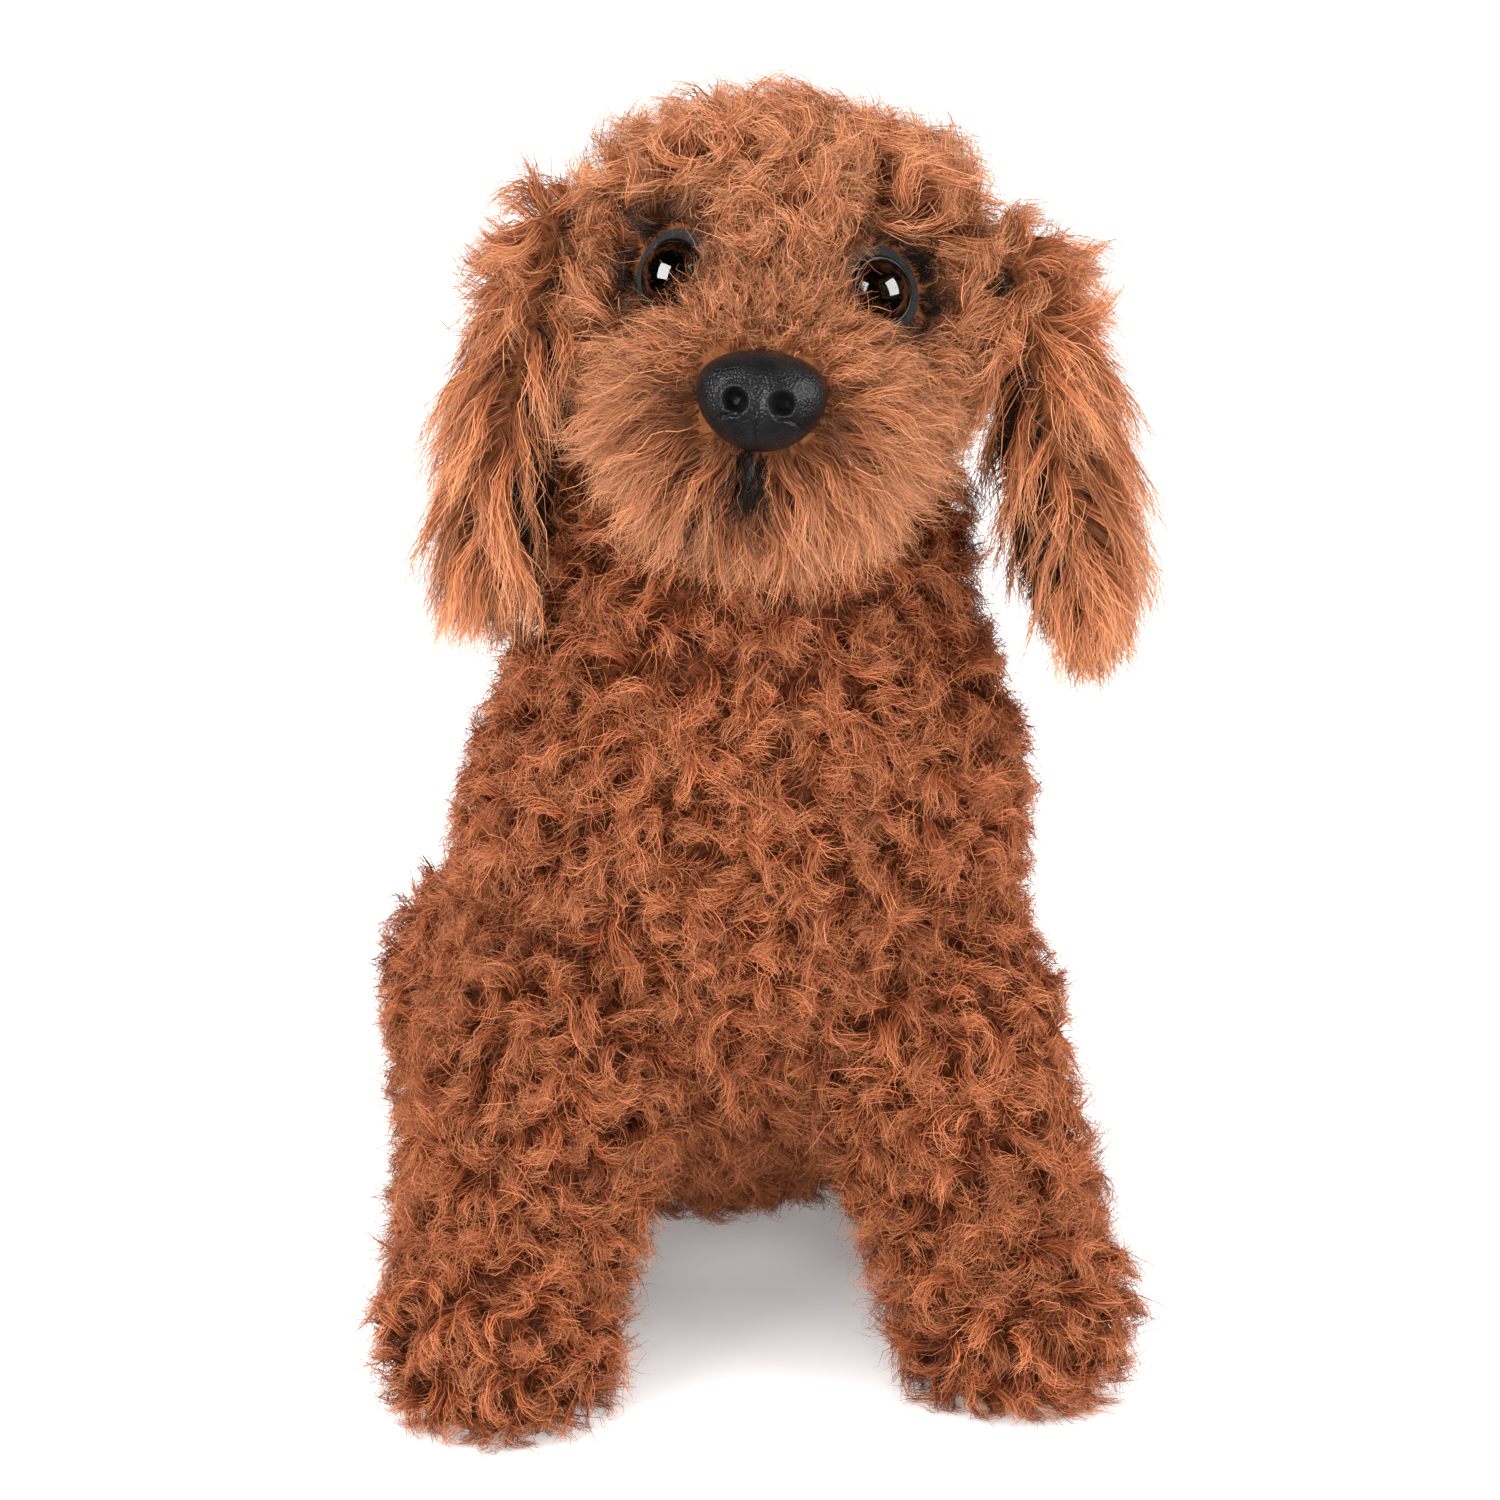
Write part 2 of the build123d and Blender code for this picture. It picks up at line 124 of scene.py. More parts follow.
def add_bump(tree, shader, source, depth, strength=1.0):
    """Surface relief from a value, with its depth in metres."""
    bump = tree.nodes.new("ShaderNodeBump")
    bump.inputs["Strength"].default_value = strength
    bump.inputs["Distance"].default_value = depth
    tree.links.new(source, bump.inputs["Height"])
    if shader.inputs["Normal"].is_linked:
        tree.links.new(shader.inputs["Normal"].links[0].from_socket, bump.inputs["Normal"])
    tree.links.new(bump.outputs["Normal"], shader.inputs["Normal"])


def cloth_material(name, dark, light, scale, depth, roughness=0.9, sheen=0.3):
    """Felt, pile or thread: mottled colour with a fine relief."""
    material, tree, shader = new_material(name, light, roughness, sheen, 0.2)
    broad = add_texture(tree, "ShaderNodeTexNoise", scale, Detail=6.0, Roughness=0.65)
    colour = add_ramp(tree, broad.outputs["Fac"], ((0.3, dark), (0.7, light)))
    tree.links.new(colour, shader.inputs["Base Color"])
    fine = add_texture(tree, "ShaderNodeTexNoise", scale * 4, Detail=8.0, Roughness=0.7)
    add_bump(tree, shader, fine.outputs["Fac"], depth)
    return material


def strand_material(name, roughness, sheen):
    """Fur strands: each strand carries its colour in an attribute, dark at the root as painted shade of the
    deep fur and pale at the tip, and a mottle varies it a little along and across them.
    """
    material, tree, shader = new_material(name, (0.4, 0.15, 0.06), roughness, sheen, 0.2)
    strand_tone_and_shade = tree.nodes.new("ShaderNodeAttribute")
    strand_tone_and_shade.attribute_name = "fur"
    mottle = add_texture(tree, "ShaderNodeTexNoise", 220.0, Detail=4.0, Roughness=0.6)
    shade = add_ramp(tree, mottle.outputs["Fac"], ((0.25, (0.74, 0.72, 0.70)), (0.75, (1, 1, 1))))
    mix = tree.nodes.new("ShaderNodeMix")
    mix.data_type = "RGBA"
    mix.blend_type = "MULTIPLY"
    mix.inputs["Factor"].default_value = 1.0
    tree.links.new(strand_tone_and_shade.outputs["Color"], mix.inputs["A"])
    tree.links.new(shade, mix.inputs["B"])
    tree.links.new(mix.outputs["Result"], shader.inputs["Base Color"])
    return material


MATERIALS = {
    "strands": strand_material("fur_strands", 0.6, 0.0),
    # Both backings are dark like the roots of the fur: painted shade of the deep fur where the skin shows
    # between the locks.
    "skin_brown": cloth_material(
        "fur_backing_brown", (0.07, 0.018, 0.006), (0.2, 0.05, 0.017), 400, 0.0006, roughness=1.0, sheen=0.0
    ),
    "skin_tan": cloth_material(
        "fur_backing_tan", (0.13, 0.04, 0.014), (0.3, 0.1, 0.035), 400, 0.0006, roughness=1.0, sheen=0.0
    ),
    # Near-black ear lining: painted shade of the gap between the ear and the head.
    "lining": cloth_material("ear_lining_plush", (0.018, 0.008, 0.005), (0.06, 0.028, 0.016), 350, 0.0005),
    "black_felt": cloth_material("black_felt", (0.004, 0.0035, 0.0035), (0.016, 0.014, 0.014), 500, 0.0003),
    "sole_felt": cloth_material("mustard_felt", (0.26, 0.14, 0.04), (0.5, 0.31, 0.11), 500, 0.0003),
    "thread": cloth_material("black_thread", (0.004, 0.003, 0.003), (0.02, 0.016, 0.015), 1500, 0.0002),
    "filling": cloth_material("polyester_fibre", (0.6, 0.6, 0.58), (0.86, 0.86, 0.84), 300, 0.0006),
    "pellet_bag": cloth_material("cotton_bag", (0.5, 0.47, 0.4), (0.75, 0.72, 0.65), 700, 0.0003),
}


def plastic_materials():
    """Eye, iris, dome, nose and washer plastics."""
    black, tree, shader = new_material("eye_black_gloss", (0.003, 0.0027, 0.0027), 0.16, 0, 0.3, 0.15)
    grain = add_texture(tree, "ShaderNodeTexNoise", 900.0, Detail=2.0)
    add_bump(tree, shader, grain.outputs["Fac"], 0.00001, 0.3)
    iris, tree, shader = new_material("eye_iris_brown", (0.03, 0.012, 0.006), 0.25, 0, 0.5, 0.3)
    streak = add_texture(tree, "ShaderNodeTexNoise", 450.0, Detail=5.0, Roughness=0.7)
    stops = ((0.35, (0.002, 0.0015, 0.0012)), (0.75, (0.014, 0.005, 0.003)))
    colour = add_ramp(tree, streak.outputs["Fac"], stops)
    tree.links.new(colour, shader.inputs["Base Color"])
    lens, tree, shader = new_material("eye_lens_clear", (0.035, 0.018, 0.012), 0.015, 0, 0.5, 1.0)
    shader.inputs["Transmission Weight"].default_value = 1.0
    shader.inputs["IOR"].default_value = 1.49
    shader.inputs["Coat IOR"].default_value = 1.9
    shader.inputs["Coat Roughness"].default_value = 0.01
    grain = add_texture(tree, "ShaderNodeTexNoise", 700.0, Detail=1.0)
    add_bump(tree, shader, grain.outputs["Fac"], 0.000004, 0.2)
    nose, tree, shader = new_material("nose_satin_black", (0.008, 0.008, 0.009), 0.3, 0, 0.4, 0.16)
    shader.inputs["Coat Roughness"].default_value = 0.16
    tone = add_texture(tree, "ShaderNodeTexNoise", 160.0, Detail=4.0)
    stops = ((0.3, (0.004, 0.004, 0.0045)), (0.75, (0.012, 0.0115, 0.012)))
    colour = add_ramp(tree, tone.outputs["Fac"], stops)
    tree.links.new(colour, shader.inputs["Base Color"])
    pebble = add_texture(tree, "ShaderNodeTexVoronoi", 1700.0, Randomness=1.0)
    add_bump(tree, shader, pebble.outputs["Distance"], -0.0003, 0.7)
    washer, tree, shader = new_material("washer_white", (0.8, 0.8, 0.78), 0.4)
    grain = add_texture(tree, "ShaderNodeTexNoise", 500.0, Detail=3.0)
    add_bump(tree, shader, grain.outputs["Fac"], 0.00002, 0.4)
    MATERIALS.update(eye_black=black, eye_iris=iris, eye_lens=lens, nose=nose, washer=washer)


plastic_materials()


def dress(obj, material):
    """Puts one material on every face of an object."""
    obj.data.materials.clear()
    obj.data.materials.append(MATERIALS[material])


# ---- frames of the head ----------------------------------------------------------------------------
def turn(degrees, axis):
    """A rotation matrix about a main axis."""
    return Matrix.Rotation(math.radians(degrees), 4, axis)


HEAD = Matrix.Translation((0.0074, -0.0385, 0.251)) @ turn(-10, "Z") @ turn(-10, "X") @ turn(4, "Y")
HEAD_TURN = np.array(HEAD.to_3x3())
HEAD_AT = np.array(HEAD.translation)
NOSE_AT = np.array((0.0, -0.066, -0.013))  # in the head's own frame
MUZZLE_AXIS_HEIGHT = -0.0145
EYE_AZIMUTH, EYE_RISE = math.radians(37), math.radians(14)
EYE_OUT = 0.0412  # from the middle of the head to the front of an eye


def to_head(points):
    """World points in the head's own frame."""
    return (points - HEAD_AT) @ HEAD_TURN


def eye_centre(side):
    """Middle of an eye's front in the head's own frame."""
    outward = (
        side * math.sin(EYE_AZIMUTH) * math.cos(EYE_RISE),
        -math.cos(EYE_AZIMUTH) * math.cos(EYE_RISE),
        math.sin(EYE_RISE),
    )
    return np.array(outward) * EYE_OUT


# ---- stuffed bodies --------------------------------------------------------------------------------
CLOTH_FRAMES, CLOTH_PRESSURE = 12, 4.0
SEAT_LEVEL = 0.0013  # skin under this height doesn't swell down to the floor


def add_object(name, mesh):
    """A new object in the scene."""
    obj = bpy.data.objects.new(name, mesh)
    bpy.context.scene.collection.objects.link(obj)
    return obj


def applied(obj):
    """Replaces an object's mesh with the result of its modifiers."""
    graph = bpy.context.evaluated_depsgraph_get()
    mesh = bpy.data.meshes.new_from_object(obj.evaluated_get(graph))
    obj.modifiers.clear()
    obj.data = mesh


def coordinates(mesh):
    """Vertex positions as an array."""
    values = np.empty(len(mesh.vertices) * 3, np.float32)
    mesh.vertices.foreach_get("co", values)
    return values.reshape(-1, 3).astype(float)


def keep_outer_shell(obj):
    """Removes the hollows that the remesh leaves inside."""
    shape = bmesh.new()
    shape.from_mesh(obj.data)
    left, islands = set(shape.verts), []
    while left:
        edge, island = [left.pop()], []
        while edge:
            vertex = edge.pop()
            island.append(vertex)
            for link in vertex.link_edges:
                other = link.other_vert(vertex)
                if other in left:
                    left.remove(other)
                    edge.append(other)
        islands.append(island)
    islands.sort(key=len)
    for island in islands[:-1]:
        bmesh.ops.delete(shape, geom=island, context="VERTS")
    shape.to_mesh(obj.data)
    shape.free()


def stuff(obj, most):
    """Swells a closed skin by cloth pressure, no point moving further than the given distance."""
    start = coordinates(obj.data)
    cloth = obj.modifiers.new("cloth", "CLOTH")
    settings = cloth.settings
    settings.quality = 4
    settings.use_pressure = True
    settings.uniform_pressure_force = CLOTH_PRESSURE
    settings.effector_weights.gravity = 0.0
    scene = bpy.context.scene
    cloth.point_cache.frame_start, cloth.point_cache.frame_end = 1, CLOTH_FRAMES
    for number in range(1, CLOTH_FRAMES + 1):
        scene.frame_set(number)
    graph = bpy.context.evaluated_depsgraph_get()
    moved = coordinates(obj.evaluated_get(graph).to_mesh()) - start
    obj.modifiers.clear()
    scene.frame_set(1)
    reach = np.linalg.norm(moved, axis=1, keepdims=True)
    moved *= np.minimum(1, most / np.maximum(reach, 1e-9))
    swollen = start + moved
    swollen[:, 2] = np.maximum(swollen[:, 2], np.minimum(start[:, 2], SEAT_LEVEL))
    obj.data.vertices.foreach_set("co", swollen.astype(np.float32).ravel())
    obj.data.update()


def stuffed(name, body, nodes, material, voxel, swell):
    """A closed stuffed skin over CAD cloth and filling, ready to carry fur."""
    joined = bmesh.new()
    for node in nodes:
        joined.from_mesh(NODES[node].data)
    mesh = bpy.data.meshes.new(name)
    joined.to_mesh(mesh)
    joined.free()
    obj = add_object(name, mesh)
    remesh = obj.modifiers.new("remesh", "REMESH")
    remesh.mode = "VOXEL"
    remesh.voxel_size = voxel
    remesh.use_smooth_shade = True
    applied(obj)
    keep_outer_shell(obj)
    if swell:
        stuff(obj, swell)
    obj.modifiers.new("smooth", "SUBSURF").levels = 1
    applied(obj)
    for polygon in obj.data.polygons:
        polygon.use_smooth = True
    dress(obj, material)
    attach(obj, body)
    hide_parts(*nodes)
    return obj


# ---- fur -------------------------------------------------------------------------------------------
FUR_MARGIN = 0.0135  # furthest that strands stand proud of the CAD box
FLOOR_GAP = 0.0006  # lowest that strands reach
LOCK_CANDIDATES = 60000  # roots that may start a lock
PIECE_TRIANGLES = 195000  # most triangles in one piece of fur
random = np.random.default_rng(7)
DOWN = np.array((0.0, 0.0, -1.0))


def unit(vectors):
    """Vectors made one long."""
    return vectors / np.maximum(np.linalg.norm(vectors, axis=-1, keepdims=True), 1e-9)


def flat_on(normals, vectors):
    """Vectors laid flat on the surface and made one long."""
    return unit(vectors - normals * (vectors * normals).sum(-1, keepdims=True))


class Skin:
    """The triangles of a stuffed body, to scatter roots over."""

    def __init__(self, obj):
        mesh = obj.data
        mesh.calc_loop_triangles()
        corner = np.empty(len(mesh.loop_triangles) * 3, np.int32)
        mesh.loop_triangles.foreach_get("vertices", corner)
        self.corner = corner.reshape(-1, 3)
        self.at = coordinates(mesh)
        normal = np.empty(len(mesh.vertices) * 3, np.float32)
        mesh.vertices.foreach_get("normal", normal)
        self.normal = normal.reshape(-1, 3).astype(float)
        a, b, c = (self.at[self.corner[:, k]] for k in range(3))
        self.area = 0.5 * np.linalg.norm(np.cross(b - a, c - a), axis=1)
        self.middle = (a + b + c) / 3
        self.tree = BVHTree.FromObject(obj, bpy.context.evaluated_depsgraph_get())

    def scatter(self, density, grown):
        """Roots and normals, the density per square metre times grown(points, normals), which is 0 to 1."""
        face_normal = unit(self.normal[self.corner].sum(1))
        weight = self.area * np.clip(grown(self.middle, face_normal), 0, 1)
        count = int(density * weight.sum())
        face = random.choice(len(weight), count, p=weight / weight.sum())
        share = random.random((count, 2))
        flip = share.sum(1) > 1
        share[flip] = 1 - share[flip]
        mix = np.stack([1 - share.sum(1), share[:, 0], share[:, 1]], 1)[..., None]
        corner = self.corner[face]
        return (self.at[corner] * mix).sum(1), unit((self.normal[corner] * mix).sum(1))


def thinned(points, spacing):
    """Indices of points that are at least a spacing apart."""
    tree = KDTree(len(points))
    for number, point in enumerate(points):
        tree.insert(point, number)
    tree.balance()
    free = np.ones(len(points), bool)
    kept = []
    for number, point in enumerate(points):
        if free[number]:
            kept.append(number)
            for _, other, _ in tree.find_range(point, spacing):
                free[other] = False
    return np.array(kept)


def nearest(centres, points):
    """Index of the centre that is nearest to each point."""
    tree = KDTree(len(centres))
    for number, point in enumerate(centres):
        tree.insert(point, number)
    tree.balance()
    return np.array([tree.find(point)[1] for point in points])


def guide_lines(at, normal, comb, length, lift, style, steps):
    """Lines that rise from the skin, follow the comb and wind round as they go."""
    count = len(at)
    aside = np.cross(normal, comb)
    start = random.random(count) * 2 * math.pi
    turns = style["turns"] * (0.5 + random.random(count)) * np.where(random.random(count) < 0.5, -1, 1)
    line = [at]
    for step in range(steps):
        t = (step + 0.5) / steps
        angle = start + turns * 2 * math.pi * t
        way = normal * (style["rise"] * (1 - t) ** 1.3 + style["stand"]) * lift[:, None]
        way = way + comb * style["comb"] + DOWN * style["hang"] * (0.3 + t)
        way = way + style["curl"] * (comb * np.cos(angle)[:, None] + aside * np.sin(angle)[:, None])
        line.append(line[-1] + unit(way) * (length / steps)[:, None])
    return np.stack(line, 1)


def strand_lines(root, root_of_lock, lock, guide, style, t):
    """Lines of all strands: each gathers to the guide of its lock, and the loose ones stray."""
    count = len(root)
    pull = style["pull"] * np.clip(1 + 0.25 * random.standard_normal(count), 0.3, 1.1)
    loose = random.random(count) < style["loose"]
    pull[loose] *= 0.3
    gather = 1 - pull[:, None] * (t**0.8)[None]
    offset = root - root_of_lock[lock]
    line = guide[lock]
    reach = 0.78 + 0.3 * random.random(count)
    line = line[:, :1] + (line - line[:, :1]) * reach[:, None, None] + offset[:, None] * gather[..., None]
    wave = random.standard_normal((count, 3)) * style["frizz"]
    drift = random.standard_normal((count, 3)) * np.where(loose, style["stray"], style["frizz"])[:, None]
    swing = np.sin(t[None] * (4 + 5 * random.random((count, 1))) * 2 + 6.3 * random.random((count, 1)))
    line = line + wave[:, None] * (swing * t)[..., None] + drift[:, None] * (t**1.5)[None, :, None]
    low, high = (np.array(corner) for corner in cad_box)
    line = np.clip(line, low - FUR_MARGIN, high + FUR_MARGIN)
    line[..., 2] = np.maximum(line[..., 2], FLOOR_GAP)
    return line


def half_widths(line, normal, width, t):
    """From the middle of each strand to its edge, tapering to the tip."""
    tangent = unit(np.gradient(line, axis=1))
    facing = unit(normal + 0.8 * random.standard_normal(normal.shape))[:, None]
    side = unit(np.cross(tangent, facing))
    wide = width * (0.7 + 0.6 * random.random(len(line)))[:, None] * (1 - 0.85 * t**2)[None]
    return side * wide[..., None] * 0.5


def strand_mesh(name, line, edge, colour):
    """A mesh of flat ribbons with their colour, painted shade at the roots included, in an attribute."""
    steps = line.shape[1] - 1
    ends = np.stack([line - edge, line + edge], 2).reshape(-1, 3)
    tint = np.repeat(colour[:, :, None], 2, 2).reshape(-1, 3)
    base = (np.arange(len(line)) * (steps + 1) * 2)[:, None, None]
    row = (np.arange(steps) * 2)[None, :, None]
    faces = (base + row + np.array([0, 1, 3, 2])[None, None]).reshape(-1, 4)
    mesh = bpy.data.meshes.new(name)
    mesh.vertices.add(len(ends))
    mesh.vertices.foreach_set("co", ends.astype(np.float32).ravel())
    mesh.loops.add(faces.size)
    mesh.loops.foreach_set("vertex_index", faces.astype(np.int32).ravel())
    mesh.polygons.add(len(faces))
    mesh.polygons.foreach_set("loop_start", np.arange(len(faces), dtype=np.int32) * 4)
    mesh.update(calc_edges=True)
    mesh.polygons.foreach_set("use_smooth", np.ones(len(faces), bool))
    strand_tone_and_shade = mesh.color_attributes.new("fur", "FLOAT_COLOR", "POINT")
    opaque = np.concatenate([tint, np.ones((len(tint), 1))], 1)
    strand_tone_and_shade.data.foreach_set("color", opaque.astype(np.float32).ravel())
    return mesh


def grow(name, body, skin, style, grown, comb_of, length_of, colour_of, lift_of=None):
    """Fur of one region: locks of strands that follow a shared guide, cut into pieces of limited size."""
    steps = style["steps"]
    root, normal = skin.scatter(style["density"], grown)
    seed = thinned(root[:LOCK_CANDIDATES], style["spacing"])
    lock = nearest(root[seed], root)
    comb = flat_on(normal[seed], comb_of(root[seed], normal[seed]))
    spread = 1 + style["uneven"] * (2 * random.random(len(seed)) - 1)
    length = length_of(root[seed], normal[seed]) * spread
    lift = lift_of(root[seed], normal[seed]) if lift_of else np.ones(len(seed))
    guide = guide_lines(root[seed], normal[seed], comb, length, lift, style, steps)
    t = np.linspace(0, 1, steps + 1)
    line = strand_lines(root, root[seed], lock, guide, style, t)
    edge = half_widths(line, normal, style["width"], t)
    colour = colour_of(root, t, random.random(len(root)), random.random(len(seed))[lock], line)
    order = np.argsort(lock, kind="stable")
    per_piece = PIECE_TRIANGLES // (2 * steps)
    for number, first in enumerate(range(0, len(order), per_piece), 1):
        pick = order[first : first + per_piece]
        mesh = strand_mesh(f"{name}_{number}", line[pick], edge[pick], colour[pick])
        piece = add_object(f"{name}_{number}", mesh)
        dress(piece, "strands")
        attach(piece, body)


def tinted(root_colour, mid_colour, tip_colour):
    """Colour along a strand, from a dark root, which is painted shade of the deep fur, to a light tip, which is
    partly the fibres' own lighter tips and partly painted highlight of the lit outside of the coat; varied from
    strand to strand and from lock to lock.
    """
    stops = [np.array(c) for c in (root_colour, mid_colour, tip_colour)]

    def colour(root, t, strand, lock, line):
        low = stops[0][None] + (stops[1] - stops[0])[None] * np.clip(t * 2.2, 0, 1)[:, None]
        along = low + (stops[2] - stops[1])[None] * np.clip(t * 1.8 - 0.8, 0, 1)[:, None]
        bright = (0.55 + 0.8 * strand) * (0.75 + 0.5 * lock)
        pale = np.clip((strand - 0.86) * 5, 0, 1)[:, None, None]
        return along[None] * bright[:, None, None] * (1 - pale) + (along * 0.6 + stops[2] * 0.9)[None] * pale

    return colour


# Roots are far darker than tips: painted shade deep in the fur. The light tips are partly the fibres' own
# colour and partly painted highlight.
BROWN = tinted((0.06, 0.012, 0.0035), (0.27, 0.057, 0.0155), (0.54, 0.192, 0.082))
TAN = tinted((0.19, 0.058, 0.022), (0.47, 0.155, 0.060), (0.62, 0.275, 0.135))
MUZZLE_TAN = tinted((0.17, 0.052, 0.019), (0.38, 0.122, 0.047), (0.52, 0.225, 0.108))
DARK = np.array((0.012, 0.008, 0.007))

# density per square metre, spacing between locks, width and the random parts in metres; the rest are shares
BODY = dict(density=1.7e6, spacing=0.0034, steps=6, width=0.00024, turns=0.7, rise=0.95, stand=0.15, comb=0.3,
            hang=0.12, curl=0.82, pull=0.58, loose=0.27, frizz=0.0009, stray=0.0034, uneven=0.25)
CROWN = dict(BODY, density=2.4e6, spacing=0.0032, width=0.00023, rise=1.0, stand=0.34, curl=0.95, turns=0.8,
             pull=0.5, loose=0.3, frizz=0.0008, stray=0.0032)
MUZZLE = dict(BODY, density=2.5e6, spacing=0.0030, steps=7, width=0.00023, turns=1.1, rise=0.8, stand=0.36,
              comb=0.7, hang=0.22, curl=0.42, pull=0.5, loose=0.28, frizz=0.0009, stray=0.0034)
EAR = dict(BODY, density=3.0e6, spacing=0.0031, steps=7, width=0.00022, turns=1.5, rise=0.5, stand=0.12,
           comb=0.6, hang=0.85, curl=0.42, pull=0.42, loose=0.32, frizz=0.0012, stray=0.0042, uneven=0.4)
PILE = dict(BODY, density=2.2e6, spacing=0.0016, steps=3, turns=0.3, rise=0.8, stand=0.35, comb=0.5, hang=0.2,
            curl=0.25, pull=0.45, loose=0.2, frizz=0.0003, stray=0.0007)
# Near-black pile for the ear linings: painted shade of the gap between the ear and the head.
PAINTED_SHADE_PILE = tinted((0.010, 0.005, 0.004), (0.035, 0.014, 0.008), (0.085, 0.038, 0.022))

LENGTH = 0.0155  # curls of the body
PILE_LENGTH = 0.0042  # short pile inside the ears
SOLE_EDGE = 0.0035  # no fur grows under this height


def free_of(*trees, gap=0.004):
    """Fur only where no other body lies close over the skin."""

    def grown(points, normals):
        share = np.ones(len(points))
        for number, (point, normal) in enumerate(zip(points, normals)):
            for tree in trees:
                if tree.ray_cast(Vector(point) + Vector(normal) * 0.0002, Vector(normal), gap)[0] is not None:
                    share[number] = 0
                    break
        return share * (points[:, 2] > SOLE_EDGE)

    return grown


def combed_down(points, normals):
    """Down and a little back."""
    way = np.broadcast_to(np.array((0.0, 0.25, -1.0)), points.shape)
    return way + 0.2 * random.standard_normal(points.shape)


def same(length):
    """One length everywhere."""
    return lambda points, normals: np.full(len(points), length)


def head_comb(points, normals):
    """Away from the nose, and away from the eyes next to them."""
    local = to_head(points)
    way = unit(local - NOSE_AT)
    for side in SIDES.values():
        apart = local - eye_centre(side)
        near = np.clip(1 - (np.linalg.norm(apart, axis=1) - 0.009) / 0.012, 0, 1)[:, None]
        way = way + unit(apart) * near * 1.6
    return way @ HEAD_TURN.T


def on_muzzle(local):
    """0 on the round of the skull, 1 on the muzzle."""
    return np.clip((-local[:, 1] - 0.028) / 0.010, 0, 1) * (local[:, 2] < 0.013)


def off_face(local):
    """0 under the eyes and the nose, 1 elsewhere."""
    clear = np.ones(len(local))
    for side in SIDES.values():
        apart = local - eye_centre(side)
        outer = unit(apart)[:, 0] * side * 0.6 + unit(apart)[:, 2] * 0.6
        clear *= np.linalg.norm(apart, axis=1) > 0.0102 + 0.0010 * np.clip(outer * 2, -1, 1)
    nose = (local[:, 1] < -0.0612) & (np.abs(local[:, 0]) < 0.0118) & (np.abs(local[:, 2] + 0.013) < 0.0088)
    return clear * ~nose


def crown_grown(points, normals):
    """Skull fur, without the muzzle and the eyes."""
    local = to_head(points)
    return off_face(local) * (1 - on_muzzle(local))


def muzzle_grown(points, normals):
    """Muzzle fur, without the nose."""
    local = to_head(points)
    return off_face(local) * on_muzzle(local)


def mouth_line(local):
    """1 on the lip under the nose and on the mouth that spreads from its foot."""
    aside, level = np.abs(local[:, 0]), local[:, 2]
    lip = (aside < 0.0030) & (level < -0.019) & (level > -0.033)
    line = np.exp(-(((level + 0.0325 + 0.2 * aside) / 0.0012) ** 2)) * (aside < 0.012)
    around = np.exp(-(((np.hypot(aside / 1.25, level + 0.0125) - 0.0108) / 0.0012) ** 2)) * (level < -0.010)
    return np.maximum(np.maximum(lip, line), 0.8 * around) * (local[:, 1] < -0.045)


def muzzle_length(points, normals):
    """Short on the bridge, long on the cheeks and the chin."""
    local = to_head(points)
    level = local[:, 2] - MUZZLE_AXIS_HEIGHT
    up = level / np.maximum(np.hypot(local[:, 0], level), 1e-6)
    along = np.clip((-local[:, 1] - 0.030) / 0.035, 0, 1)
    length = 0.009 + 0.018 * np.clip(0.75 - up, 0, 1) - 0.004 * along
    return length * (1 - 0.6 * (mouth_line(local) > 0.4))


def crown_length(points, normals):
    """Curls, shorter next to the eyes."""
    local = to_head(points)
    high = np.clip(local[:, 2] / 0.03, 0, 1)
    beside = np.clip((np.abs(local[:, 0]) - 0.014) / 0.012, 0, 1)
    length = 0.0175 + 0.003 * high + 0.009 * high * beside
    for side in SIDES.values():
        near = np.clip(1.2 - (np.linalg.norm(local - eye_centre(side), axis=1) - 0.011) / 0.009, 0, 1)
        length -= 0.011 * near
    return length


def face_colour(base):
    """Fur colour, turned near black in a ring round each eye, most on its upper outer side, and along the lip,
    the mouth and the lower edge of the nose.
    """

    def colour(root, t, strand, lock, line):
        tint = base(root, t, strand, lock, line)
        local = to_head(root)
        dark = np.zeros(len(root))
        for side in SIDES.values():
            apart = local - eye_centre(side)
            outer = np.clip(0.75 + unit(apart)[:, 0] * side * 0.45 + unit(apart)[:, 2] * 0.2, 0, 1)
            near = np.clip(1.6 - (np.linalg.norm(apart, axis=1) - 0.0110) / 0.0030, 0, 1)
            dark = np.maximum(dark, near * outer)
        dark = np.maximum(dark, mouth_line(local))[:, None, None]
        return tint * (1 - dark) + DARK * dark

    return colour


def flared(points, normals):
    """Length of the ears' curly fur, shorter where it would stand straight up."""
    return 0.026 - 0.010 * np.clip(normals[:, 2] * 1.3, 0, 1)


def shared(cover, share):
    """Fur where a cover leaves the skin free, thinned by a share of the place."""
    return lambda points, normals: cover(points, normals) * share(points)


def ear_height(side, points):
    """0 at the tip of an ear, 1 at its seam."""
    low, high = (np.array(corner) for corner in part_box(f"{side}_ear_cloth"))
    return (points[:, 2] - low[2]) / (high[2] - low[2])


def ear_comb(side):
    """Down and in to the tip, and outward next to the seam."""
    low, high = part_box(f"{side}_ear_cloth")
    middle = (low.y + high.y) / 2

    def comb(points, normals):
        top = np.clip((ear_height(side, points) - 0.80) / 0.20, 0, 1)[:, None]
        out = np.array((SIDES[side], 0.0, 0.0))
        inward = np.zeros(points.shape)
        inward[:, 1] = (middle - points[:, 1]) * 22
        return (1 - top) * (DOWN + out * 0.38 + inward) + top * (out + DOWN * 0.55)

    return comb


